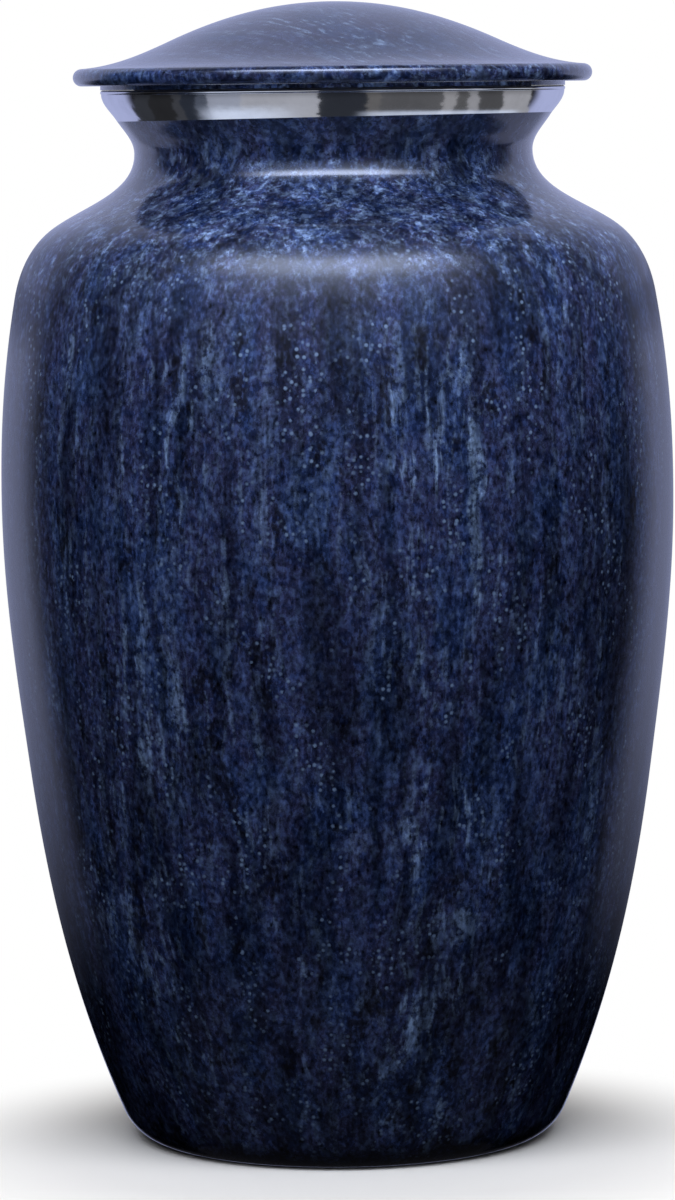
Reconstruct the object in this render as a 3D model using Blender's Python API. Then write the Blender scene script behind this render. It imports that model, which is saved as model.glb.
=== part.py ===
"""Funeral urn with a lift-off lid, both turned about +Z. Metres, origin at the middle of the underside.

urn_body is one hollow casting: a foot ring round a shallow recess, a swelling side, a rounded shoulder, a
narrow throat and a flared mouth, whose bare band is turned bright. lid is a hollow dome with a round rim, a
narrow seat step under it, and a plain ring that drops into the mouth.
"""

from math import cos, pi, radians, sin

import bmesh
import bpy
from mathutils import Vector
from mathutils.geometry import interpolate_bezier

# Flat sides round the urn, and how far each curve's handles reach, as a share of the span
SEGMENTS = 48
CURVE_PULL = 0.35

# Radii of the body's outside
FOOT_RADIUS = 0.0450
FOOT_ROLL_WIDTH = 0.0074
BELLY_RADIUS = 0.0785
THROAT_RADIUS = 0.0463
MOUTH_RADIUS = 0.0540

# Heights of the body's stretches, from the foot up
FOOT_ROLL_HEIGHT = 0.0069
LOWER_SIDE_HEIGHT = 0.0799
UPPER_SIDE_HEIGHT = 0.0645
SHOULDER_HEIGHT = 0.0464
SHOULDER_TURN_HEIGHT = 0.0161
NECK_HEIGHT = 0.0170
LIP_HEIGHT = 0.0078
BAND_HEIGHT = 0.0069

# Where the curve passes between two of the radii above, from 0 at the narrower to 1 at the wider
LOWER_SIDE_SWELL = 0.78
SHOULDER_SWELL = 0.88
NECK_SWELL = 0.59
LIP_SWELL = 0.53

# Slopes of the outside, in degrees from straight up, outward positive
FOOT_EDGE_SLOPE = 77.0
FOOT_ROLL_SLOPE = 22.5
LOWER_SIDE_SLOPE = 7.5
SHOULDER_SLOPE = -10.0
NECK_SLOPE = -55.0
LIP_SLOPE = 33.0
MOUTH_SLOPE = 6.0

# Walls, underside and mouth
WALL = 0.0025
FLOOR_THICKNESS = 0.0030
FOOT_RING_WIDTH = 0.0090
RECESS_DEPTH = 0.0012
RECESS_BEVEL = 0.0008
MOUTH_LIP_WIDTH = 0.0075
MOUTH_EDGE_ROUND = 0.0006

# Lid
SEAT_GAP = 0.0003
SEAT_STEP_HEIGHT = 0.0007
RIM_OVERHANG = 0.0063
RIM_THICKNESS = 0.0040
CROWN_RISE = 0.0150
OGEE_SPREAD = 0.647
OGEE_LIFT = 0.417
OGEE_SLOPE = -65.5
RIM_SLOPE = -86.0
LID_WALL = 0.0025
SPIGOT_DEPTH = 0.0060
SPIGOT_WALL = 0.0025
SPIGOT_CLEARANCE = 0.0004
SPIGOT_END_CLEARANCE = 0.0010
SPIGOT_CHAMFER = 0.0006

# Points nearer than this are one point, and edges sharper than this, in degrees, stay crisp
WELD = 1e-6
CRISP_EDGE = 35.0

# Colours as red, green and blue, with roughness and how metallic each is
NAVY_LACQUER = ((0.020, 0.024, 0.075), 0.28, 0.0)
BRIGHT_METAL = ((0.90, 0.90, 0.92), 0.06, 1.0)


def between(first, second, share):
    """The length a share of the way from the first to the second."""
    return first + share * (second - first)


def curve_through(knots):
    """Points of a smooth line through knots, each (radius, height, slope, steps up to it from the last)."""
    line = [knots[0][:2]]
    for (r0, z0, slope0, _), (r1, z1, slope1, steps) in zip(knots, knots[1:]):
        start, end = Vector((r0, z0)), Vector((r1, z1))
        reach = CURVE_PULL * (end - start).length
        leave = start + reach * Vector((sin(radians(slope0)), cos(radians(slope0))))
        arrive = end - reach * Vector((sin(radians(slope1)), cos(radians(slope1))))
        line += [tuple(p) for p in interpolate_bezier(start, leave, arrive, end, steps + 1)[1:]]
    return line


def arc(centre, radius, first, last, steps):
    """Points of a round edge, from one angle to another, in degrees from straight outward."""
    turns = [radians(first + (last - first) * i / steps) for i in range(steps + 1)]
    return [(centre[0] + radius * cos(a), centre[1] + radius * sin(a)) for a in turns]


def set_in(line, wall):
    """The line moved to its left by the wall's thickness, square to itself."""
    moved = []
    for i, (r, z) in enumerate(line):
        before, after = line[max(i - 1, 0)], line[min(i + 1, len(line) - 1)]
        along = Vector((after[0] - before[0], after[1] - before[1])).normalized()
        moved.append((r - wall * along.y, z + wall * along.x))
    return moved


def rest_of(line, which, level):
    """The line from where its radius (which is 0) or height (which is 1) passes a level."""
    for i, (last, point) in enumerate(zip(line, line[1:]), 1):
        if min(last[which], point[which]) < level <= max(last[which], point[which]):
            share = (level - last[which]) / (point[which] - last[which])
            return [tuple(between(a, b, share) for a, b in zip(last, point))] + line[i:]
    return line


def body_knots():
    """The body's outside from the foot's edge to the mouth."""
    roll = FOOT_RADIUS + FOOT_ROLL_WIDTH
    heights = [0.0]
    for stretch in (FOOT_ROLL_HEIGHT, LOWER_SIDE_HEIGHT, UPPER_SIDE_HEIGHT, SHOULDER_HEIGHT,
                    SHOULDER_TURN_HEIGHT, NECK_HEIGHT, LIP_HEIGHT, BAND_HEIGHT - MOUTH_EDGE_ROUND):
        heights.append(heights[-1] + stretch)
    points = (
        (FOOT_RADIUS, FOOT_EDGE_SLOPE, 0),
        (roll, FOOT_ROLL_SLOPE, 4),
        (between(roll, BELLY_RADIUS, LOWER_SIDE_SWELL), LOWER_SIDE_SLOPE, 7),
        (BELLY_RADIUS, 0.0, 5),
        (between(THROAT_RADIUS, BELLY_RADIUS, SHOULDER_SWELL), SHOULDER_SLOPE, 4),
        (between(THROAT_RADIUS, BELLY_RADIUS, NECK_SWELL), NECK_SLOPE, 5),
        (THROAT_RADIUS, 0.0, 7),
        (between(THROAT_RADIUS, MOUTH_RADIUS, LIP_SWELL), LIP_SLOPE, 4),
        (MOUTH_RADIUS, MOUTH_SLOPE, 3),
    )
    return [(radius, height, slope, steps) for (radius, slope, steps), height in zip(points, heights)]


BODY_KNOTS = body_knots()
THROAT_AT = BODY_KNOTS[-3][1]
BAND_FOOT = BODY_KNOTS[-2][1]
MOUTH_HEIGHT = BAND_FOOT + BAND_HEIGHT
BORE_RADIUS = MOUTH_RADIUS - MOUTH_LIP_WIDTH


def body_outline():
    """From the middle of the underside, up the outside, over the mouth and down the inside to the floor."""
    outside = curve_through(BODY_KNOTS)
    ring = FOOT_RADIUS - FOOT_RING_WIDTH
    underside = [(0.0, RECESS_DEPTH), (ring - RECESS_BEVEL, RECESS_DEPTH), (ring, 0.0)]
    edge_middle = (MOUTH_RADIUS - MOUTH_EDGE_ROUND, MOUTH_HEIGHT - MOUTH_EDGE_ROUND)
    mouth_edge = arc(edge_middle, MOUTH_EDGE_ROUND, 0.0, 90.0, 2)[1:]

    # Inside, the wall is followed past the throat as far as the bore that takes the lid's spigot
    floor = RECESS_DEPTH + FLOOR_THICKNESS
    bore_foot = MOUTH_HEIGHT - SPIGOT_DEPTH - SPIGOT_END_CLEARANCE
    wall = rest_of(set_in(outside[::2], WALL), 1, floor)
    inside = [(min(r, BORE_RADIUS) if z > THROAT_AT else r, z) for r, z in wall if z < bore_foot]
    bore = [(BORE_RADIUS, bore_foot), (BORE_RADIUS, MOUTH_HEIGHT)]
    return underside + outside + mouth_edge + (inside + bore)[::-1] + [(0.0, floor)]


def lid_outline():
    """From the crown out to the rim, back under it to the spigot ring, and up inside to the crown."""
    seat = MOUTH_HEIGHT + SEAT_GAP
    rim_foot = seat + SEAT_STEP_HEIGHT
    edge = RIM_THICKNESS / 2
    rim = MOUTH_RADIUS + RIM_OVERHANG - edge
    rim_edge = arc((rim, rim_foot + edge), edge, -RIM_SLOPE, -90.0, 6)
    crown = rim_foot + RIM_THICKNESS + CROWN_RISE
    ogee = (rim * OGEE_SPREAD, rim_foot + RIM_THICKNESS + CROWN_RISE * OGEE_LIFT, OGEE_SLOPE, 5)
    dome = curve_through([(*rim_edge[0], RIM_SLOPE, 0), ogee, (0.0, crown, -90.0, 6)])

    spigot = BORE_RADIUS - SPIGOT_CLEARANCE
    spigot_foot = MOUTH_HEIGHT - SPIGOT_DEPTH
    hollow = spigot - SPIGOT_WALL
    under = rest_of(set_in(dome, LID_WALL), 0, hollow)
    return (
        dome[::-1]
        + rim_edge[1:]
        + [(MOUTH_RADIUS, rim_foot), (MOUTH_RADIUS, seat), (spigot, seat)]
        + [(spigot, spigot_foot + SPIGOT_CHAMFER), (spigot - SPIGOT_CHAMFER, spigot_foot)]
        + [(hollow, spigot_foot)]
        + under[:-1]
        + [(0.0, crown - LID_WALL)]
    )


def finish(name, colour, roughness, metallic):
    """A plain material."""
    material = bpy.data.materials.new(name)
    material.use_nodes = True
    shader = material.node_tree.nodes["Principled BSDF"]
    shader.inputs["Base Color"].default_value = (*colour, 1.0)
    shader.inputs["Roughness"].default_value = roughness
    shader.inputs["Metallic"].default_value = metallic
    return material


def turned(name, outline, materials, bare):
    """A solid made by turning an outline about Z; bare(height) says which faces take the second material."""
    bm = bmesh.new()
    points = [bm.verts.new((radius, 0.0, height)) for radius, height in outline]
    edges = [bm.edges.new(pair) for pair in zip(points, points[1:])]
    bmesh.ops.spin(
        bm, geom=points + edges, axis=(0, 0, 1), cent=(0, 0, 0), angle=2 * pi, steps=SEGMENTS, use_merge=True
    )
    bmesh.ops.remove_doubles(bm, verts=bm.verts, dist=WELD)
    bmesh.ops.recalc_face_normals(bm, faces=bm.faces)
    for face in bm.faces:
        face.material_index = int(bare(face.calc_center_median().z))
    mesh = bpy.data.meshes.new(name)
    bm.to_mesh(mesh)
    bm.free()
    for material in materials:
        mesh.materials.append(material)
    mesh.shade_smooth()
    mesh.set_sharp_from_angle(angle=radians(CRISP_EDGE))
    piece = bpy.data.objects.new(name, mesh)
    bpy.context.collection.objects.link(piece)
    return piece


def main():
    for old in list(bpy.data.objects):
        bpy.data.objects.remove(old)
    materials = [finish("navy_lacquer", *NAVY_LACQUER), finish("bright_metal", *BRIGHT_METAL)]
    turned("urn_body", body_outline(), materials, lambda height: height > BAND_FOOT)
    turned("lid", lid_outline(), materials, lambda height: height < MOUTH_HEIGHT + SEAT_GAP)


main()
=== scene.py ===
"""Looks of a funeral urn: a mottled navy lacquer on a turned body and lid, and a bright band at the mouth.

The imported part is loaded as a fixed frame. Each operator makes one finely turned piece round the same axis,
and the stage operator makes the floor, the lights and the camera.
"""

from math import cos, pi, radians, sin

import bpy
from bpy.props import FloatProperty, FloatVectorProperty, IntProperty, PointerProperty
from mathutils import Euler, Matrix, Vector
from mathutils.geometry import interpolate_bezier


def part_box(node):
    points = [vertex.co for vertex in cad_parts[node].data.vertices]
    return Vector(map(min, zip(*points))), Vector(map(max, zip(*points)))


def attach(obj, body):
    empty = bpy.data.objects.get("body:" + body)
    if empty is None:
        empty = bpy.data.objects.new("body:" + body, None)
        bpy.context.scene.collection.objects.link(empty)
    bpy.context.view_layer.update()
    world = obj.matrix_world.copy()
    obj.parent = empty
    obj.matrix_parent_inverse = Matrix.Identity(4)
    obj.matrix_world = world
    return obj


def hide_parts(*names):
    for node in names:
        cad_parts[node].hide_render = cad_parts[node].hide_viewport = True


bl_info = {
    "name": "Funeral Urn Looks",
    "version": (1, 0, 0),
    "blender": (4, 5, 0),
    "location": "View3D > Sidebar > Urn",
    "description": "Builds the lacquered urn, its bright mouth band, its lid and a studio stage",
    "category": "Object",
}

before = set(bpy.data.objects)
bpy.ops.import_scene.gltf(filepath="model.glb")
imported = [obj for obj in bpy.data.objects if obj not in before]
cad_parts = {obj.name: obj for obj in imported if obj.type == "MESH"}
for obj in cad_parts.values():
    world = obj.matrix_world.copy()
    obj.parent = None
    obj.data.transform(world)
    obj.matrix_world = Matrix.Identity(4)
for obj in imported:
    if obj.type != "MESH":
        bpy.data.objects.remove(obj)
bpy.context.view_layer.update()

BODY_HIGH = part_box("urn_body")[1]
LID_LOW, LID_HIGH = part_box("lid")
MM = 0.001

# Edges sharper than this stay crisp
CRISP_EDGE = radians(40.0)

# How far each curve's handles reach, as a share of the span
CURVE_PULL = 0.35

# The masked edge's wander dies away over the rings nearest to it
EDGE_FADE = (1.0, 0.66, 0.33)


def length(name, description, default):
    return FloatProperty(name=name, description=description, default=default, unit="LENGTH", precision=5)


def share(name, description, default):
    return FloatProperty(name=name, description=description, default=default, subtype="FACTOR")


def slope(name, description, degrees):
    return FloatProperty(name=name, description=description, default=radians(degrees), subtype="ANGLE")


def colour(name, description, default):
    return FloatVectorProperty(name=name, description=description, default=default, subtype="COLOR", size=3,
                               soft_max=20.0)


def number(name, description, default):
    return FloatProperty(name=name, description=description, default=default)


def pair(name, description, default):
    return FloatVectorProperty(name=name, description=description, default=default, size=2)


class UrnBodyShape(bpy.types.PropertyGroup):
    """Outline of the body, from its foot up."""

    belly_radius: length("Belly Radius", "Widest half width", BODY_HIGH[0])
    height: length("Height", "Foot to mouth", BODY_HIGH[2])
    foot_radius: length("Foot Radius", "Where the flat foot ends", 45.0 * MM)
    foot_roll_width: length("Foot Roll Width", "How far the foot's edge rolls out", 7.4 * MM)
    foot_roll_height: length("Foot Roll Height", "Height of the rolled edge", 6.9 * MM)
    lower_side_height: length("Lower Side Height", "Roll to the side's turn", 79.9 * MM)
    shoulder_height: length("Shoulder Height", "Belly to the shoulder", 46.4 * MM)
    shoulder_turn_height: length("Shoulder Turn Height", "Shoulder to the slope", 16.1 * MM)
    neck_height: length("Neck Height", "Slope to the throat", 17.0 * MM)
    lip_height: length("Lip Height", "Throat to the bright band", 7.8 * MM)
    band_height: length("Band Height", "Bright band to the mouth", 6.9 * MM)
    throat_radius: length("Throat Radius", "Narrowest half width", 46.3 * MM)
    mouth_radius: length("Mouth Radius", "Half width of the mouth", 54.0 * MM)
    lower_side_swell: share("Lower Side Swell", "From the roll to the belly", 0.78)
    shoulder_swell: share("Shoulder Swell", "From the throat to the belly", 0.88)
    neck_swell: share("Neck Swell", "From the throat to the belly", 0.59)
    lip_swell: share("Lip Swell", "From the throat to the mouth", 0.53)
    foot_edge_slope: slope("Foot Edge Slope", "From straight up, outward positive", 77.0)
    foot_roll_slope: slope("Foot Roll Slope", "From straight up, outward positive", 22.5)
    lower_side_slope: slope("Lower Side Slope", "From straight up, outward positive", 7.5)
    shoulder_slope: slope("Shoulder Slope", "From straight up, outward positive", -10.0)
    neck_slope: slope("Neck Slope", "From straight up, outward positive", -55.0)
    lip_slope: slope("Lip Slope", "From straight up, outward positive", 33.0)
    mouth_slope: slope("Mouth Slope", "From straight up, outward positive", 6.0)
    wall: length("Wall", "Thickness of the casting", 2.5 * MM)
    floor: length("Floor", "Height of the inner floor", 4.2 * MM)
    foot_ring_width: length("Foot Ring Width", "Flat ring that the urn stands on", 9.0 * MM)
    recess_depth: length("Recess Depth", "Hollow inside the foot ring", 1.2 * MM)
    mouth_lip_width: length("Mouth Lip Width", "Flat top of the mouth", 7.5 * MM)
    bore_depth: length("Bore Depth", "Straight part inside the mouth", 7.0 * MM)
    bore_gap: length("Bore Gap", "Between the casting's inside and the band's foot", 0.1 * MM)
    mouth_chamfer: length("Mouth Chamfer", "Eased edge inside the mouth", 0.3 * MM)
    recess_bevel: length("Recess Bevel", "Slanted edge of the recess", 0.8 * MM)
    bead_radius: length("Bead Radius", "Round bead on the mouth's edge", 0.55 * MM)
    paint_wander: length("Paint Wander", "How far the hand-masked paint edge strays", 0.55 * MM)


class UrnLidShape(bpy.types.PropertyGroup):
    """Outline of the lid."""

    rim_radius: length("Rim Radius", "Half width over the rim", LID_HIGH[0])
    crown_height: length("Crown Height", "Top of the lid above the foot", LID_HIGH[2])
    foot_height: length("Foot Height", "Underside of the ring in the mouth", LID_LOW[2])
    seat_gap: length("Seat Gap", "Between the seat and the mouth", 0.04 * MM)
    seat_step: length("Seat Step", "Height of the step under the rim", 0.96 * MM)
    rim_thickness: length("Rim Thickness", "Thickness of the round rim", 4.0 * MM)
    ogee_spread: share("Ogee Spread", "Where the dome turns, out from the middle", 0.647)
    ogee_lift: share("Ogee Lift", "Where the dome turns, up from the rim", 0.417)
    ogee_slope: slope("Ogee Slope", "From straight up, inward negative", -65.5)
    rim_slope: slope("Rim Slope", "From straight up, inward negative", -86.0)
    wall: length("Wall", "Thickness of the casting", 2.5 * MM)
    ring_wall: length("Ring Wall", "Thickness of the ring in the mouth", 2.5 * MM)
    ring_clearance: length("Ring Clearance", "Between the ring and the bore", 0.4 * MM)
    ring_chamfer: length("Ring Chamfer", "Lead-in at the ring's foot", 0.6 * MM)


class UrnFinish(bpy.types.PropertyGroup):
    """Colours and gloss."""

    ink: colour("Ink", "Black-brown blotches", (0.0045, 0.0042, 0.0070))
    deep: colour("Deep", "Gaps in the mottle", (0.0030, 0.0070, 0.0250))
    dusk: colour("Dusk", "Grey-violet ground", (0.0130, 0.0140, 0.0310))
    navy: colour("Navy", "Main blue of the ground", (0.0078, 0.0134, 0.0340))
    blue: colour("Blue", "Clouds and mottles", (0.0250, 0.0400, 0.0840))
    pale: colour("Pale", "Veins and specks", (0.1250, 0.1700, 0.2300))
    metal: colour("Metal", "Polished band", (0.92, 0.92, 0.94))
    cast: colour("Cast Metal", "Bare casting inside", (0.42, 0.42, 0.44))
    band_lean: pair("Band Lean", "Downward lean of the polish at its top and at its foot", (0.02, 0.26))
    streak_length: number("Streak Length", "Veins against their own width", 14.0)
    gloss: number("Gloss", "Roughness of the clear coat", 0.10)
    long_vein: number("Long Vein", "Width of the fine veins in millimetres", 1.8)
    wide_vein: number("Wide Vein", "Width of the broad veins in millimetres", 4.6)
    curl: number("Curl", "Size of the curly mottle in millimetres", 2.7)
    thread: number("Thread", "Spacing of the thin curly threads in millimetres", 4.5)
    cloud: number("Cloud", "Width of the blue clouds in millimetres", 5.5)
    blotch: number("Blotch", "Width of the dark blotches in millimetres", 6.0)
    grain: number("Grain", "Size of the fine grain in millimetres", 1.0)
    speck_density: number("Speck Density", "Places for a speck to a millimetre", 0.72)


class UrnStage(bpy.types.PropertyGroup):
    """Camera and light."""

    lens: number("Lens", "Focal length in millimetres on a 36 mm long side", 159.9)
    distance: length("Distance", "Camera to the axis", 1.2446)
    eye_height: length("Eye Height", "Camera above the foot", 0.2453)
    aim_side: length("Aim Side", "Aim to the right of the axis", -0.3 * MM)
    pitch: slope("Pitch", "Camera tipped down", 5.48)
    roll: slope("Roll", "Camera rolled clockwise", 0.69)
    backdrop_half: slope("Backdrop Half", "Half the angle that the white backdrop fills", 57.0)
    sheet_glow: colour("Sheet Glow", "Backdrop that the urn mirrors", (0.39, 0.43, 0.68))
    top_glow: colour("Top Glow", "Backdrop higher up", (0.36, 0.395, 0.55))
    front_glow: colour("Front Glow", "Dim room in front", (0.012, 0.012, 0.015))
    box_glow: colour("Box Glow", "Soft box above the camera", (12.5, 14.5, 20.0))
    light_tint: colour("Light Tint", "Colour of the soft lights", (0.72, 0.79, 1.0))
    card_radius: length("Card Radius", "Room card to the axis", 1.0)
    card_height: length("Card Height", "Height of the band that mirrors the card", 0.242)
    panel_radius: length("Panel Radius", "Side panels to the axis", 0.12)
    panel_low: length("Panel Low", "Foot of the side panels", -0.12)
    panel_high: length("Panel High", "Top of the side panels, below the neck", 0.207)
    panel_full: length("Panel Full", "Height where the side panels glow in full", 0.13)
    panel_depth: pair("Panel Depth", "Where the side panels start to glow, and glow in full", (-0.016, 0.024))
    panel_glow: pair("Panel Glow", "Beside the urn and behind it, against the backdrop", (0.72, 0.58))
    kick_spread: slope("Kick Spread", "How widely the low light spreads", 17.0)
    floor_half: length("Floor Half", "Half the floor's width", 4.0)
    # Painted shadow: the floor is darker round the urn and fades to glowing white further out, on top of the
    # real shadow that the urn casts on it
    painted_shadow_middle: length("Floor Middle", "Middle of the unfaded floor, in front of the axis", 0.018)
    painted_shadow_fade: pair("Floor Fade", "Where the floor starts to turn white, and is white", (0.062, 0.115))
    floor_shade_tint: colour("Floor Tint", "Floor near the urn", (0.54, 0.485, 0.385))
    around: IntProperty(name="Around", description="Sides of each turned piece", default=192, min=24)


class Wire:
    """A number socket that can be used in sums."""

    def __init__(self, graph, socket):
        self.graph = graph
        self.socket = socket

    def joined(self, operation, first, second):
        return self.graph.node("ShaderNodeMath", {"operation": operation}, {0: first, 1: second})

    def __add__(self, other):
        return self.joined("ADD", self, other)

    def __radd__(self, other):
        return self.joined("ADD", other, self)

    def __sub__(self, other):
        return self.joined("SUBTRACT", self, other)

    def __rsub__(self, other):
        return self.joined("SUBTRACT", other, self)

    def __mul__(self, other):
        return self.joined("MULTIPLY", self, other)

    def __rmul__(self, other):
        return self.joined("MULTIPLY", other, self)

    def __truediv__(self, other):
        return self.joined("DIVIDE", self, other)


class Graph:
    """Nodes of one material or world."""

    def __init__(self, owner):
        owner.use_nodes = True
        self.tree = owner.node_tree
        self.tree.nodes.clear()

    def node(self, kind, settings=None, inputs=None, output=0):
        """Adds a node, sets it up, feeds its sockets and returns one of its outputs."""
        node = self.tree.nodes.new(kind)
        for name, value in (settings or {}).items():
            if name == "stops":
                self.set_stops(node.color_ramp, value)
            elif name == "steps":
                node.color_ramp.interpolation = value
            else:
                setattr(node, name, value)
        for name, value in (inputs or {}).items():
            if isinstance(value, Wire):
                self.tree.links.new(value.socket, node.inputs[name])
            else:
                node.inputs[name].default_value = value
        return Wire(self, node.outputs[output]) if node.outputs else None

    def set_stops(self, ramp, stops):
        while len(ramp.elements) < len(stops):
            ramp.elements.new(1.0)
        for element, (place, value) in zip(ramp.elements, stops):
            element.position = place
            element.color = (*value, 1.0) if len(value) == 3 else value

    def vector(self, operation, first, second, output=0):
        return self.node("ShaderNodeVectorMath", {"operation": operation}, {0: first, 1: second}, output)

    def scaled(self, vector, factor):
        return self.node("ShaderNodeVectorMath", {"operation": "SCALE"}, {0: vector, "Scale": factor})

    def noise(self, place, size, detail=2.0, roughness=0.5, output=0):
        """Cloudy noise whose lumps are about a size in place's own unit, around 0.5."""
        settings = {"noise_dimensions": "3D"}
        inputs = {"Vector": place, "Scale": 1.0 / size, "Detail": detail, "Roughness": roughness}
        return self.node("ShaderNodeTexNoise", settings, inputs, output)

    def between(self, value, low, high, start=0.0, end=1.0):
        """The value's place between low and high, eased, as a number from start to end."""
        inputs = {"Value": value, 1: low, 2: high, 3: start, 4: end}
        return self.node("ShaderNodeMapRange", {"interpolation_type": "SMOOTHSTEP"}, inputs)

    def mixed(self, factor, first, second):
        """A vector between two."""
        return self.node("ShaderNodeMix", {"data_type": "VECTOR"}, {0: factor, 4: first, 5: second}, 1)

    def blend(self, factor, first, second):
        """A colour between two."""
        return self.node("ShaderNodeMix", {"data_type": "RGBA"}, {0: factor, 6: first, 7: second}, 2)


def opaque(tint):
    return (*tint, 1.0)


def millimetres(graph):
    """The surface's place on the urn, in millimetres."""
    place = graph.node("ShaderNodeTexCoord", output="Object")
    return graph.vector("MULTIPLY", place, (1000.0, 1000.0, 1000.0))


def finish_surface(graph, settings):
    shader = graph.node("ShaderNodeBsdfPrincipled", {}, settings)
    graph.node("ShaderNodeOutputMaterial", {}, {"Surface": shader})


LEVELS = {
    # Heights above the foot, in millimetres, where each change in the lacquer starts and where it is full
    "neck": (198.0, 214.0),
    "lip": (227.0, 233.0),
    "lip_top": (243.0, 240.0),
    "rim": (243.0, 245.0),
    "lid_top": (251.2, 250.3),
    "vein_fields": (205.0, 180.0),
    "specks": (222.0, 205.0),
    "dust_top": (218.0, 206.0),
    "dust_foot": (182.0, 196.0),
}

# Middle of the pale cloud on the left of the shoulder, in millimetres, with its reach and its core
PATCH_MIDDLE = (-44.0, -58.0, 198.0)
PATCH_REACH = (15.0, 3.0)


def vein_fields(graph, side):
    """Where veins crowd: right of the middle, and less at the left. side is the angle from the front."""
    right = graph.between(side, 0.10, 0.24) * graph.between(side, 0.50, 0.38)
    left = graph.between(side, -1.00, -0.75) * graph.between(side, -0.30, -0.50)
    return right * 0.9 + left * 0.5


def pale_specks(graph, look, place, short, level):
    """Small specks that lie in clusters and fade out up the neck."""
    cells = {"feature": "F1", "voronoi_dimensions": "3D"}
    inputs = {"Vector": place, "Scale": look.speck_density, "Randomness": 1.0}
    near = graph.node("ShaderNodeTexVoronoi", cells, inputs)
    some = graph.node("ShaderNodeTexVoronoi", cells, inputs, 1)
    chance = graph.node("ShaderNodeSeparateColor", {}, {"Color": some})
    cluster = graph.between(graph.noise(short, 9.0, 2.0), 0.50, 0.62)
    cluster = cluster * graph.between(level, *LEVELS["specks"])
    return graph.between(near, 0.44, 0.14) * graph.between(chance, 0.25, 0.85) * cluster


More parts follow.
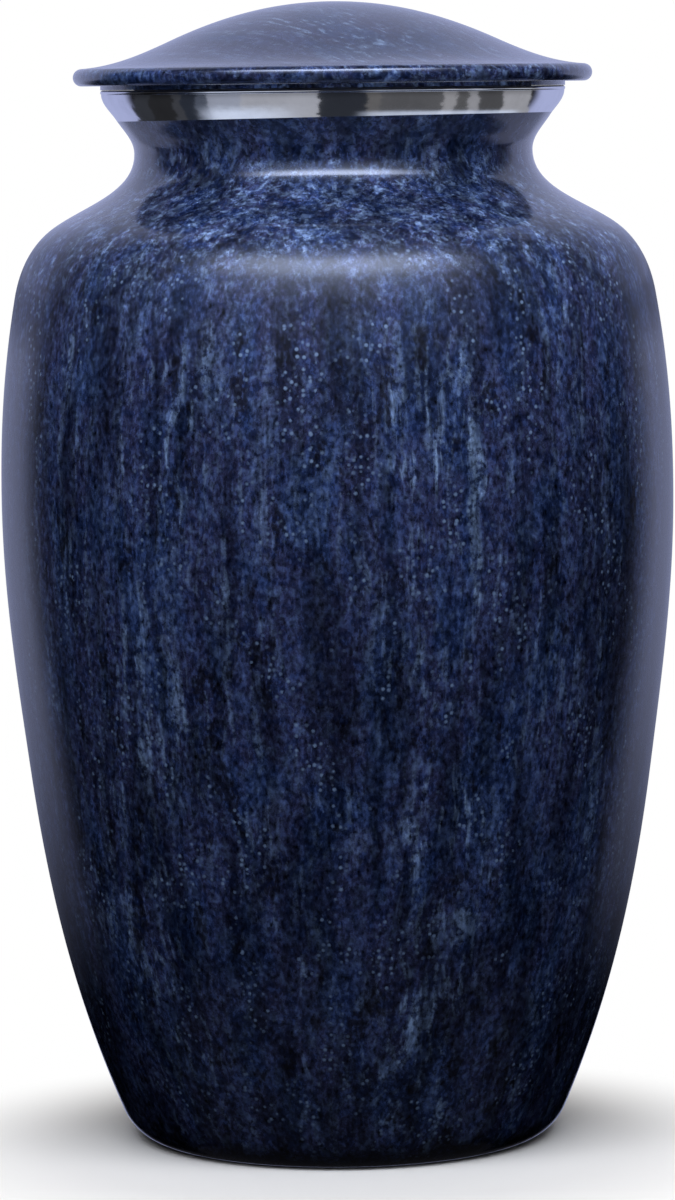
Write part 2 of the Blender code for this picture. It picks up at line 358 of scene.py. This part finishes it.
def lacquer(look, name, along, width, veined, mottled):
    """Mottled navy lacquer.

    along is the direction its veins run in and width their width against the body's. veined says how strongly
    they show, and mottled how strongly the mottle shows above the lid's rim.
    """
    material = bpy.data.materials.new(name)
    graph = Graph(material)
    place = millimetres(graph)

    # The veins wander a little, so the place is bent by slow noise before it is stretched
    bend = graph.vector("SUBTRACT", graph.noise(place, 18.0, 2.0, output=1), (0.5, 0.5, 0.5))
    bent = graph.vector("ADD", place, graph.vector("MULTIPLY", bend, (5.0, 5.0, 5.0)))
    turn = Vector((0.0, 0.0, 1.0)).rotation_difference(Vector(along)).inverted().to_euler()
    inputs = {"Vector": bent, "Rotation": tuple(turn)}
    turned = graph.node("ShaderNodeVectorRotate", {"rotation_type": "EULER_XYZ"}, inputs)
    fine = 1.0 / width
    running = graph.vector("MULTIPLY", turned, (fine, fine, fine / look.streak_length))
    short = graph.vector("MULTIPLY", turned, (1.0, 1.0, 0.38))

    # How far up the neck, the lip under the band and the calm top of the lid reach
    parts = graph.node("ShaderNodeSeparateXYZ", {}, {"Vector": place})
    depth, level = (Wire(graph, parts.socket.node.outputs[name]) for name in ("Y", "Z"))
    lip = graph.between(level, *LEVELS["lip"]) * graph.between(level, *LEVELS["lip_top"])
    rim = graph.between(level, *LEVELS["rim"])
    neck = graph.between(level, *LEVELS["neck"]) * (1.0 - lip * 0.75) * (1.0 - rim * 0.6)
    lively = graph.between(level, *LEVELS["lid_top"], mottled, 1.0)

    # Ground of two dark tones, with blue clouds over it
    ground = graph.between(graph.noise(short, 10.0, 3.0, 0.55), 0.45, 0.62)
    paint = graph.blend(ground, opaque(look.dusk), opaque(look.navy))
    cloud = graph.between(graph.noise(short, look.cloud, 4.0, 0.6), 0.46, 0.74)
    paint = graph.blend(cloud * 0.50 * lively, paint, opaque(look.blue))

    # Veins run down the wall, broken by the curly mottle that lies over them
    side = graph.node("ShaderNodeMath", {"operation": "ARCTAN2"}, {0: parts, 1: 0.0 - depth})
    field = vein_fields(graph, side) * graph.between(level, *LEVELS["vein_fields"])
    streaky = graph.between(graph.noise(short, 16.0, 2.0), 0.42, 0.60, 0.22, 0.75) * (1.0 + field * 1.4)
    long_veins = graph.between(graph.noise(running, look.long_vein, 3.0, 0.55), 0.52, 0.70)
    wide_veins = graph.between(graph.noise(running, look.wide_vein, 4.0, 0.6), 0.53, 0.70)
    curls = graph.noise(bent, look.curl, 4.0, 0.68)
    broken = graph.between(curls, 0.40, 0.56, 0.25, 1.0)
    veins = (long_veins * 0.44 + wide_veins * 0.38) * streaky * veined * broken
    paint = graph.blend(veins, paint, opaque(look.pale))

    # The mottle and its threads are strongest on the neck, and a soft pale cloud lies on the shoulder
    off_middle = graph.noise(bent, look.thread, 4.0, 0.62) - 0.5
    thread = graph.node("ShaderNodeMath", {"operation": "ABSOLUTE"}, {0: off_middle})
    threads = graph.between(thread, 0.035, 0.004) * (0.10 + neck * 0.45)
    from_patch = graph.vector("SUBTRACT", bent, PATCH_MIDDLE)
    patch = graph.between(graph.vector("LENGTH", from_patch, (0.0, 0.0, 0.0), "Value"), *PATCH_REACH)
    mottle = graph.between(curls, 0.51, 0.68) * (0.38 + neck * 0.44) + threads
    mottle = (mottle + patch * graph.between(cloud, 0.0, 0.6, 0.16, 0.36)) * lively
    paint = graph.blend(mottle, paint, graph.blend(mottle * 0.65, opaque(look.blue), opaque(look.pale)))

    # Black-brown blotches and deep gaps, then fine grain and slow streaks over everything
    blotch = graph.between(graph.noise(short, look.blotch, 4.0, 0.6), 0.42, 0.36)
    paint = graph.blend(blotch * (0.80 - neck * 0.42) * lively, paint, opaque(look.ink))
    gaps = graph.between(curls, 0.49, 0.39) * (0.55 + neck * 0.35) * lively
    paint = graph.blend(gaps, paint, opaque(look.deep))
    grain = graph.noise(graph.vector("MULTIPLY", place, (1.0, 1.0, 0.6)), look.grain, 2.0, 0.6) - 0.5
    slow = graph.between(graph.noise(running, 6.0, 3.0, 0.6), 0.38, 0.62, -0.42, 0.48) * lively
    paint = graph.blend(graph.between(grain, 0.03, 0.13) * 0.22 * lively, paint, opaque(look.blue))
    paint = graph.scaled(paint, (1.0 + grain * 3.7 * lively) * (1.0 + slow))
    speck = pale_specks(graph, look, place, short, level)
    coloured = graph.blend(speck * 0.85, paint, opaque(look.pale))

    # Overspray leaves the shoulder less glossy
    dusty = graph.between(level, *LEVELS["dust_top"]) * graph.between(level, *LEVELS["dust_foot"])
    height = grain * 0.6 + curls * 0.5 + speck * 0.5
    normal = graph.node("ShaderNodeBump", {}, {"Strength": 0.12, "Distance": 0.0002, "Height": height})
    finish_surface(graph, {
        "Base Color": coloured,
        "Roughness": 0.22 + dusty * 0.12 + curls * 0.1,
        "Normal": normal,
        "Specular IOR Level": 0.50,
        "Coat Weight": 1.0 - dusty * 0.7,
        "Coat Roughness": look.gloss,
        "Coat IOR": 1.50,
    })
    return material


def polished(look, shape):
    """Mirror-bright metal with faint turning lines, buffed to an even lean from its top to its foot."""
    material = bpy.data.materials.new("polished_metal")
    graph = Graph(material)
    place = millimetres(graph)
    lines = graph.noise(graph.vector("MULTIPLY", place, (0.02, 0.02, 1.0)), 0.22, 2.0)
    smudge = graph.noise(place, 9.0, 3.0, 0.6)
    shade = graph.blend(graph.between(smudge, 0.35, 0.75), opaque(look.metal), (0.80, 0.80, 0.82, 1.0))

    # Below the bead, the normal keeps its way round the urn and takes its lean from the height
    top, foot = shape.height - 2 * shape.bead_radius, shape.height - shape.band_height
    level = graph.node("ShaderNodeSeparateXYZ", {}, {"Vector": place}, 2)
    inputs = {"Value": level, 1: foot / MM, 2: top / MM, 3: -look.band_lean[1], 4: -look.band_lean[0]}
    lean = graph.node("ShaderNodeMapRange", {}, inputs)
    facing = graph.node("ShaderNodeNewGeometry", output="Normal")
    outward = graph.vector("NORMALIZE", graph.vector("MULTIPLY", facing, (1.0, 1.0, 0.0)), (0.0, 0.0, 0.0))
    leaning = graph.vector("ADD", outward, graph.node("ShaderNodeCombineXYZ", {}, {"Z": lean}))
    face = graph.between(level, top / MM + 0.02, top / MM - 0.02)
    buffed = graph.vector("NORMALIZE", graph.mixed(face, facing, leaning), (0.0, 0.0, 0.0))
    inputs = {"Strength": 0.08, "Distance": 0.00002, "Height": lines + smudge * 8.0, "Normal": buffed}
    normal = graph.node("ShaderNodeBump", {}, inputs)
    finish_surface(graph, {
        "Base Color": shade,
        "Metallic": 1.0,
        "Roughness": 0.05 + smudge * 0.06 + (lines - 0.5) * 0.03,
        "Normal": normal,
    })
    return material


def bare_cast(look):
    """Unpainted casting inside the urn, matt and a little grainy."""
    material = bpy.data.materials.new("bare_cast_metal")
    graph = Graph(material)
    place = millimetres(graph)
    grain = graph.noise(place, 1.1, 4.0, 0.65)
    cloud = graph.noise(place, 18.0, 3.0, 0.5)
    dull = tuple(0.6 * c for c in look.cast)
    shade = graph.blend(graph.between(cloud, 0.3, 0.7), opaque(dull), opaque(look.cast))
    normal = graph.node("ShaderNodeBump", {}, {"Strength": 0.25, "Distance": 0.0003, "Height": grain})
    finish_surface(graph, {
        "Base Color": shade,
        "Metallic": 0.9,
        "Roughness": 0.40 + grain * 0.25,
        "Normal": normal,
    })
    return material


def along_share(first, second, amount):
    """The number a share of the way from the first to the second."""
    return first + amount * (second - first)


def curve_through(knots):
    """Points of a smooth line through knots, each (radius, height, slope, steps up to it)."""
    line = [knots[0][:2]]
    for (r0, z0, slope0, _), (r1, z1, slope1, steps) in zip(knots, knots[1:]):
        start, end = Vector((r0, z0)), Vector((r1, z1))
        reach = CURVE_PULL * (end - start).length
        leave = start + reach * Vector((sin(slope0), cos(slope0)))
        arrive = end - reach * Vector((sin(slope1), cos(slope1)))
        line += [tuple(p) for p in interpolate_bezier(start, leave, arrive, end, steps + 1)[1:]]
    return line


def arc(centre, radius, first, last, steps):
    """Points of a round edge, from one angle to another, from straight outward."""
    turns = [first + (last - first) * i / steps for i in range(steps + 1)]
    return [(centre[0] + radius * cos(a), centre[1] + radius * sin(a)) for a in turns]


def set_in(line, wall):
    """The line moved to its left by the wall's thickness, square to itself."""
    moved = []
    for i, (r, z) in enumerate(line):
        before, after = line[max(i - 1, 0)], line[min(i + 1, len(line) - 1)]
        way = Vector((after[0] - before[0], after[1] - before[1])).normalized()
        moved.append((r - wall * way.y, z + wall * way.x))
    return moved


def rest_of(line, which, level):
    """The line from where its radius (which is 0) or height (which is 1) passes a level."""
    for i, (last, point) in enumerate(zip(line, line[1:]), 1):
        if min(last[which], point[which]) < level <= max(last[which], point[which]):
            amount = (level - last[which]) / (point[which] - last[which])
            return [tuple(along_share(a, b, amount) for a, b in zip(last, point))] + line[i:]
    return line


def body_knots(shape):
    """The body's outside from the foot's edge to the mouth."""
    roll = shape.foot_radius + shape.foot_roll_width
    throat, belly_radius = shape.throat_radius, shape.belly_radius
    above = shape.shoulder_height + shape.shoulder_turn_height + shape.neck_height
    belly = shape.height - shape.band_height - shape.lip_height - above
    heights = [0.0, shape.foot_roll_height, shape.foot_roll_height + shape.lower_side_height, belly]
    for stretch in (shape.shoulder_height, shape.shoulder_turn_height, shape.neck_height, shape.lip_height):
        heights.append(heights[-1] + stretch)
    heights.append(shape.height - 2 * shape.bead_radius)
    points = (
        (shape.foot_radius, shape.foot_edge_slope, 0),
        (roll, shape.foot_roll_slope, 10),
        (along_share(roll, belly_radius, shape.lower_side_swell), shape.lower_side_slope, 28),
        (belly_radius, 0.0, 22),
        (along_share(throat, belly_radius, shape.shoulder_swell), shape.shoulder_slope, 20),
        (along_share(throat, belly_radius, shape.neck_swell), shape.neck_slope, 16),
        (throat, 0.0, 22),
        (along_share(throat, shape.mouth_radius, shape.lip_swell), shape.lip_slope, 12),
        (shape.mouth_radius - 0.3 * shape.bead_radius, shape.mouth_slope, 10),
    )
    return [(radius, height, lean, steps) for (radius, lean, steps), height in zip(points, heights)]


def paint_edge(angle, amount):
    """How far the hand-masked edge of the paint strays at an angle round the mouth, in metres."""
    front = angle + pi / 2
    return amount * (0.8 + 1.2 * sin(front) + 0.25 * cos(2 * front))


def way_along(rings, i):
    """The outline's direction at a ring, from the neighbours that are nearer than 1.5 mm."""
    here = Vector(rings[i][:2])
    beside = [Vector(ring[:2]) for ring in rings[max(i - 1, 0):i + 2]]
    near = [point for point in beside if (point - here).length < 1.5 * MM]
    return (near[-1] - near[0]).normalized()


def turned_mesh(name, rings, around, materials, closed=False):
    """A mesh turned about Z.

    rings are (radius, height, material of the strip after it, how far the paint's edge strays there). A ring
    of no radius is a pole, and a closed set of rings joins its last to its first.
    """
    points, faces, strips, starts = [], [], [], []
    for i, (radius, height, _, wander) in enumerate(rings):
        starts.append(len(points))
        if radius == 0.0:
            points.append((0.0, 0.0, height))
            continue
        way = way_along(rings, i)
        for k in range(around):
            angle = 2 * pi * k / around
            stray = paint_edge(angle, wander)
            r, z = radius + stray * way.x, height + stray * way.y
            points.append((r * cos(angle), r * sin(angle), z))
    count = len(rings)
    for i in range(count if closed else count - 1):
        j = (i + 1) % count
        low, high = starts[i], starts[j]
        for k in range(around):
            n = (k + 1) % around
            if rings[i][0] == 0.0:
                faces.append((low, high + n, high + k))
            elif rings[j][0] == 0.0:
                faces.append((low + k, low + n, high))
            else:
                faces.append((low + k, low + n, high + n, high + k))
            strips.append(rings[i][2])
    mesh = bpy.data.meshes.new(name)
    mesh.from_pydata(points, [], faces)
    for material in materials:
        mesh.materials.append(material)
    mesh.polygons.foreach_set("material_index", strips)
    mesh.shade_smooth()
    mesh.set_sharp_from_angle(angle=CRISP_EDGE)
    mesh.validate()
    piece = bpy.data.objects.new(name, mesh)
    bpy.context.scene.collection.objects.link(piece)
    return piece


def rings_from(line, material):
    return [(r, z, material, 0.0) for r, z in line]


class URN_OT_body(bpy.types.Operator):
    """Turn the lacquered body, hollow down to its foot"""

    bl_idname = "urn.body"
    bl_label = "Lacquered Body"

    def execute(self, context):
        shape, look, stage = context.scene.urn_body, context.scene.urn_finish, context.scene.urn_stage
        outside = curve_through(body_knots(shape)[:-1])
        ring = shape.foot_radius - shape.foot_ring_width
        recess_edge = ring - shape.recess_bevel
        underside = [(0.0, shape.recess_depth), (recess_edge, shape.recess_depth), (ring, 0.0)]
        band_foot = shape.height - shape.band_height
        bore = shape.mouth_radius - shape.mouth_lip_width
        throat = band_foot - shape.lip_height
        bore_foot = shape.height - shape.bore_depth
        wall = rest_of(set_in(outside[::3], shape.wall), 1, shape.floor)
        inside = [(min(r, bore) if z > throat else r, z) for r, z in wall if z < bore_foot]
        inside = [(0.0, shape.floor)] + inside + [(bore, bore_foot - shape.bore_gap)]

        lacquered, bare = 0, 1
        rings = rings_from(underside, lacquered)
        rings += rings_from(outside, lacquered)
        for back, part in enumerate(EDGE_FADE, 1):
            rings[-back] = (*rings[-back][:3], part * shape.paint_wander)
        rings += rings_from(inside[::-1], bare)
        materials = [lacquer(look, "navy_lacquer", (0.0, 0.0, 1.0), 1.0, 1.0, 1.0), bare_cast(look)]
        piece = turned_mesh("lacquered_body", rings, stage.around, materials)
        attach(piece, "root")
        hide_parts("urn_body")
        return {"FINISHED"}


class URN_OT_band(bpy.types.Operator):
    """Turn the bright band: the mouth of the same casting, left bare and polished"""

    bl_idname = "urn.band"
    bl_label = "Bright Mouth Band"

    def execute(self, context):
        shape, look, stage = context.scene.urn_body, context.scene.urn_finish, context.scene.urn_stage
        knots = body_knots(shape)[-2:]
        face = curve_through(knots)
        bead = shape.bead_radius
        middle = (shape.mouth_radius - bead, shape.height - bead)
        bore = shape.mouth_radius - shape.mouth_lip_width
        bore_foot = shape.height - shape.bore_depth
        rings = rings_from(face, 0)
        for ahead, part in enumerate(EDGE_FADE):
            rings[ahead] = (*rings[ahead][:3], part * shape.paint_wander)
        rings += rings_from(arc(middle, bead, radians(-60.0), radians(90.0), 10), 0)
        chamfer = shape.mouth_chamfer
        inside = [(bore + chamfer, shape.height), (bore, shape.height - chamfer), (bore, bore_foot)]
        rings += rings_from(inside, 0)
        piece = turned_mesh("mouth_band", rings, stage.around, [polished(look, shape)], closed=True)
        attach(piece, "root")
        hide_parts("urn_body")
        return {"FINISHED"}


class URN_OT_lid(bpy.types.Operator):
    """Turn the domed lid with its round rim, seat step and the ring that drops into the mouth"""

    bl_idname = "urn.lid"
    bl_label = "Domed Lid"

    def execute(self, context):
        scene = context.scene
        body, shape, look, stage = scene.urn_body, scene.urn_lid, scene.urn_finish, scene.urn_stage
        seat = body.height + shape.seat_gap
        rim_foot = seat + shape.seat_step
        rim_top = rim_foot + shape.rim_thickness
        edge = shape.rim_thickness / 2
        rim = shape.rim_radius - edge
        rim_edge = arc((rim, rim_foot + edge), edge, -shape.rim_slope, -pi / 2, 20)
        rise = shape.crown_height - rim_top
        ogee = (rim * shape.ogee_spread, rim_top + rise * shape.ogee_lift, shape.ogee_slope, 24)
        crown = (0.0, shape.crown_height, -pi / 2, 26)
        dome = curve_through([(*rim_edge[0], shape.rim_slope, 0), ogee, crown])

        ring = body.mouth_radius - body.mouth_lip_width - shape.ring_clearance
        hollow = ring - shape.ring_wall
        foot, chamfer = shape.foot_height, shape.ring_chamfer
        under = rest_of(set_in(dome[::2], shape.wall), 0, hollow)
        step = [(body.mouth_radius, rim_foot), (body.mouth_radius, seat)]
        collar = [(ring, seat), (ring, foot + chamfer), (ring - chamfer, foot), (hollow, foot)]
        lacquered, bare = 0, 1
        rings = rings_from([(0.0, shape.crown_height)] + dome[-2::-1] + rim_edge[1:] + step, lacquered)
        rings += rings_from(collar + under[:-1] + [(0.0, shape.crown_height - shape.wall)], bare)
        materials = [lacquer(look, "navy_lid_lacquer", (0.65, -0.76, 0.0), 0.60, 1.8, 0.3), bare_cast(look)]
        piece = turned_mesh("domed_lid", rings[::-1], stage.around, materials)
        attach(piece, "root")
        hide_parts("lid")
        return {"FINISHED"}


def soft_light(name, place, aim, size, power, tint):
    """An area light that the camera doesn't see and surfaces don't mirror."""
    light = bpy.data.lights.new(name, "AREA")
    light.shape = "RECTANGLE"
    light.size, light.size_y = size
    light.energy = power
    light.color = tint
    lamp = bpy.data.objects.new(name, light)
    lamp.location = place
    lamp.rotation_euler = (Vector(aim) - Vector(place)).to_track_quat("-Z", "Y").to_euler()
    lamp.visible_camera = False
    lamp.visible_glossy = False
    bpy.context.scene.collection.objects.link(lamp)
    return lamp


def studio_world(stage):
    """A pale blue sheet behind the urn and a soft box over the camera. The camera itself sees plain white."""
    world = bpy.data.worlds.new("studio")
    bpy.context.scene.world = world
    graph = Graph(world)
    way = graph.node("ShaderNodeTexCoord", output="Generated")
    flat = graph.vector("NORMALIZE", graph.vector("MULTIPLY", way, (1.0, 1.0, 0.0)), (0.0, 0.0, 0.0))
    behind = graph.vector("DOT_PRODUCT", flat, (0.0, 1.0, 0.0), "Value")
    up = graph.vector("DOT_PRODUCT", way, (0.0, 0.0, 1.0), "Value")
    edge = cos(stage.backdrop_half)
    lit = graph.between(behind, edge - 0.08, edge + 0.08)
    sheet = graph.blend(graph.between(up, 0.10, 0.70), opaque(stage.sheet_glow), opaque(stage.top_glow))
    covered = lit * graph.between(up, 0.93, 0.80) * graph.between(up, -0.40, -0.18)
    around = graph.blend(covered, opaque(stage.front_glow), sheet)
    wide = graph.between(behind, -0.20, -1.0)
    tall = graph.between(up, 0.64, 0.80) * graph.between(up, 0.94, 0.85)
    halo = wide * wide * graph.between(up, 0.20, 0.60) * graph.between(up, 0.97, 0.85)
    light = graph.blend(wide * tall * 0.54 + halo * 0.055, around, opaque(stage.box_glow))
    seen = graph.node("ShaderNodeLightPath", output="Is Camera Ray")
    shown = graph.blend(seen, light, (1.0, 1.0, 1.0, 1.0))
    glow = graph.node("ShaderNodeBackground", {}, {"Color": shown, "Strength": 1.0})
    graph.node("ShaderNodeOutputWorld", {}, {"Surface": glow})


def floor_material(stage):
    """Pale floor with a painted shadow: darker near the urn, where it also takes the urn's real cast shadow,
    and fading to plain glowing white away from it.
    """
    material = bpy.data.materials.new("floor_with_painted_shadow")
    graph = Graph(material)
    place = graph.node("ShaderNodeTexCoord", output="Object")
    from_middle = graph.vector("ADD", place, (0.0, stage.painted_shadow_middle, 0.0))
    away = graph.vector("LENGTH", from_middle, (0.0, 0.0, 0.0), "Value")
    # Painted shadow: the matt floor near the urn is darker than the glowing white it fades into
    matt = graph.node("ShaderNodeBsdfDiffuse", {}, {"Color": opaque(stage.floor_shade_tint)})
    white = graph.node("ShaderNodeEmission", {}, {"Color": (1.0, 1.0, 1.0, 1.0), "Strength": 1.0})
    inputs = {"Fac": graph.between(away, *stage.painted_shadow_fade), 1: matt, 2: white}
    graph.node("ShaderNodeOutputMaterial", {}, {"Surface": graph.node("ShaderNodeMixShader", {}, inputs)})
    return material


# Angles from the camera that the side panels and the room card fill, in degrees
PANEL_SPANS = ((-142.0, -74.0), (74.0, 142.0))
ROOM_SPANS = ((-142.0, 142.0),)

# Places across the band run from -1 at its left to 1 at its right, and the room card is clear beyond this one
ROOM_HALF = 0.865
ROOM_EDGES = (
    # Where each bar starts across the band, how bright it is, and how warm
    (-ROOM_HALF, 0.035, -1.0),
    (-0.80, 0.020, -0.5),
    (-0.70, 0.050, -0.8),
    (-0.66, 0.027, -2.0),
    (-0.60, 0.090, -1.6),
    (-0.54, 0.330, -1.0),
    (-0.40, 0.380, -0.5),
    (-0.07, 0.028, -1.4),
    (0.145, 0.125, 0.0),
    (0.20, 0.095, -0.3),
    (0.47, 0.290, -0.2),
    (0.53, 0.090, -0.2),
    (0.58, 0.300, -0.3),
    (0.63, 0.070, -0.3),
    (0.74, 0.340, -0.3),
)


def room_tint(brightness, warmth):
    """A grey turned towards red where it is warm and towards blue where it is cold."""
    return (brightness * (1.0 + 0.10 * warmth), brightness * 0.985, brightness * (1.0 - 0.22 * warmth))


def curved_card(name, radius, low, high, spans, material, seen_by):
    """Curved cards round the urn that only one piece mirrors. spans are in degrees from the camera."""
    steps, points, faces = 48, [], []
    for first, last in spans:
        start = len(points)
        turns = [radians(first + (last - first) * i / steps) for i in range(steps + 1)]
        points += [(radius * sin(a), -radius * cos(a), z) for z in (low, high) for a in turns]
        low_row = range(start, start + steps)
        faces += [(i, i + 1, i + steps + 2, i + steps + 1) for i in low_row]
    mesh = bpy.data.meshes.new(name)
    mesh.from_pydata(points, [], faces)
    mesh.materials.append(material)
    card = bpy.data.objects.new(name, mesh)
    card.visible_camera = False
    card.visible_diffuse = False
    card.visible_shadow = False
    bpy.context.scene.collection.objects.link(card)
    group = bpy.data.collections.new(name + "_receivers")
    group.objects.link(seen_by)
    card.light_linking.receiver_collection = group


def side_panels(stage, seen_by):
    """Pale panels beside and behind the body, dimmer towards the front and towards the floor."""
    material = bpy.data.materials.new("side_panels")
    graph = Graph(material)
    place = graph.node("ShaderNodeTexCoord", output="Object")
    parts = graph.node("ShaderNodeSeparateXYZ", {}, {"Vector": place})
    depth, height = (Wire(graph, parts.socket.node.outputs[name]) for name in ("Y", "Z"))
    start, full = stage.panel_depth
    glow = graph.between(depth, start, full) * graph.between(depth, full, 0.06, *stage.panel_glow)
    glow = glow * graph.between(height, 0.0, stage.panel_full)
    shade = graph.scaled(tuple(stage.sheet_glow), glow)
    light = graph.node("ShaderNodeEmission", {}, {"Color": shade, "Strength": 1.0})
    graph.node("ShaderNodeOutputMaterial", {}, {"Surface": light})
    low, high = stage.panel_low, stage.panel_high
    curved_card("side_panels", stage.panel_radius, low, high, PANEL_SPANS, material, seen_by)


def room_card(stage, seen_by):
    """A curved card in front with the blurred bars of a room, clear beyond them."""
    material = bpy.data.materials.new("room_card")
    graph = Graph(material)
    place = graph.node("ShaderNodeTexCoord", output="Object")
    parts = graph.node("ShaderNodeSeparateXYZ", {}, {"Vector": place})
    depth, level = (Wire(graph, parts.socket.node.outputs[name]) for name in ("Y", "Z"))
    height = (level - stage.card_height) / stage.card_radius
    half = graph.node("ShaderNodeMath", {"operation": "ARCTAN2"}, {0: parts, 1: 0.0 - depth}) * 0.5
    across = graph.node("ShaderNodeMath", {"operation": "SINE"}, {0: half})
    drop = height / graph.node("ShaderNodeMath", {"operation": "COSINE"}, {0: half})

    # The band is narrower at its foot, so the bars lean to stand upright in it
    ragged = graph.noise(place, 0.07, 3.0, 0.6) - 0.5
    upright = across * 1.045 * (1.0 + 0.133 * drop) + ragged * 0.06
    stops = [(start / 2 + 0.5, room_tint(*rest)) for start, *rest in ROOM_EDGES]
    settings = {"stops": stops, "steps": "CONSTANT"}
    room = graph.node("ShaderNodeValToRGB", settings, {"Fac": upright * 0.5 + 0.5})

    # Along the band's foot lies a pale strip, broad on the left and thin on the right
    broad = graph.between(drop + ragged * 0.15, -0.20, -0.42)
    thin = graph.between(drop, -0.37, -0.42)
    left = graph.between(upright, -0.62, -0.50) * graph.between(upright, -0.08, -0.40)
    right = graph.between(upright, 0.08, 0.22) * graph.between(upright, 0.86, 0.78)
    dimmed = graph.scaled(room, graph.between(drop, -0.02, -0.14, 0.60, 1.0))
    lit = graph.blend(broad * left * 0.95 + thin * right * 0.75, dimmed, (0.66, 0.74, 0.92, 1.0))
    light = graph.node("ShaderNodeEmission", {}, {"Color": lit, "Strength": 1.0})
    clear = graph.node("ShaderNodeBsdfTransparent", {}, {})
    from_left = graph.between(upright, -ROOM_HALF - 0.005, -ROOM_HALF)
    bars = from_left * graph.between(upright, ROOM_HALF, ROOM_HALF - 0.005)
    shown = graph.node("ShaderNodeMixShader", {}, {"Fac": bars, 1: clear, 2: light})
    graph.node("ShaderNodeOutputMaterial", {}, {"Surface": shown})
    low = stage.card_height - 0.8 * stage.card_radius
    high = stage.card_height + 0.03 * stage.card_radius
    curved_card("room_card", stage.card_radius, low, high, ROOM_SPANS, material, seen_by)


class URN_OT_stage(bpy.types.Operator):
    """Lay the pale floor and set the soft lights and the camera"""

    bl_idname = "urn.stage"
    bl_label = "Studio Stage"

    def execute(self, context):
        stage = context.scene.urn_stage
        half = stage.floor_half
        mesh = bpy.data.meshes.new("studio_floor")
        corners = [(-half, -half, 0), (half, -half, 0), (half, half, 0), (-half, half, 0)]
        mesh.from_pydata(corners, [], [(0, 1, 2, 3)])
        mesh.materials.append(floor_material(stage))
        floor = bpy.data.objects.new("studio_floor", mesh)
        floor.visible_glossy = False
        floor.visible_diffuse = False
        context.scene.collection.objects.link(floor)

        band, body = (bpy.data.objects.get(name) for name in ("mouth_band", "lacquered_body"))
        if band is None or body is None:
            raise RuntimeError("The lacquered body and the bright mouth band are made before the stage")
        room_card(stage, band)
        side_panels(stage, body)
        studio_world(stage)
        middle = (0.0, 0.0, 0.14)
        tint = stage.light_tint
        soft_light("front_overhead", (0.02, -0.40, 0.80), (0.0, 0.0, 0.2), (0.86, 0.24), 5.8, tint)
        kick = soft_light("low_kick", (0.0, -0.60, 0.17), (0.0, 0.0, 0.243), (0.30, 0.05), 0.08, tint)
        kick.data.spread = stage.kick_spread
        soft_light("fill_left", (-0.9, -0.8, 1.2), middle, (0.7, 0.7), 5.0, tint)
        soft_light("fill_right", (0.9, -0.8, 1.2), middle, (0.7, 0.7), 3.6, tint)
        soft_light("floor_wash", (0.0, 0.2, 1.6), (0.0, 0.0, 0.0), (1.2, 1.2), 11.0, (1.0, 1.0, 1.0))

        data = bpy.data.cameras.new("camera")
        data.sensor_width = 36.0
        data.lens = stage.lens
        camera = bpy.data.objects.new("camera", data)
        camera.location = (stage.aim_side, -stage.distance, stage.eye_height)
        tip = Euler((pi / 2 - stage.pitch, 0.0, 0.0)).to_matrix() @ Euler((0.0, 0.0, -stage.roll)).to_matrix()
        camera.rotation_euler = tip.to_euler()
        context.scene.collection.objects.link(camera)
        context.scene.camera = camera
        context.scene.view_settings.view_transform = "Standard"
        return {"FINISHED"}


class URN_PT_panel(bpy.types.Panel):
    """Buttons for each piece of the urn and for the stage"""

    bl_label = "Funeral Urn"
    bl_idname = "URN_PT_panel"
    bl_space_type = "VIEW_3D"
    bl_region_type = "UI"
    bl_category = "Urn"

    def draw(self, context):
        for kind in OPERATORS:
            self.layout.operator(kind.bl_idname)


GROUPS = {
    "urn_body": UrnBodyShape,
    "urn_lid": UrnLidShape,
    "urn_finish": UrnFinish,
    "urn_stage": UrnStage,
}
OPERATORS = (URN_OT_body, URN_OT_band, URN_OT_lid, URN_OT_stage)


def register():
    for name, group in GROUPS.items():
        bpy.utils.register_class(group)
        setattr(bpy.types.Scene, name, PointerProperty(type=group))
    for kind in (*OPERATORS, URN_PT_panel):
        bpy.utils.register_class(kind)


def unregister():
    for kind in (URN_PT_panel, *reversed(OPERATORS)):
        bpy.utils.unregister_class(kind)
    for name, group in reversed(GROUPS.items()):
        delattr(bpy.types.Scene, name)
        bpy.utils.unregister_class(group)


def main():
    register()
    bpy.ops.urn.body()
    bpy.ops.urn.band()
    bpy.ops.urn.lid()
    bpy.ops.urn.stage()


if __name__ == "__main__":
    main()
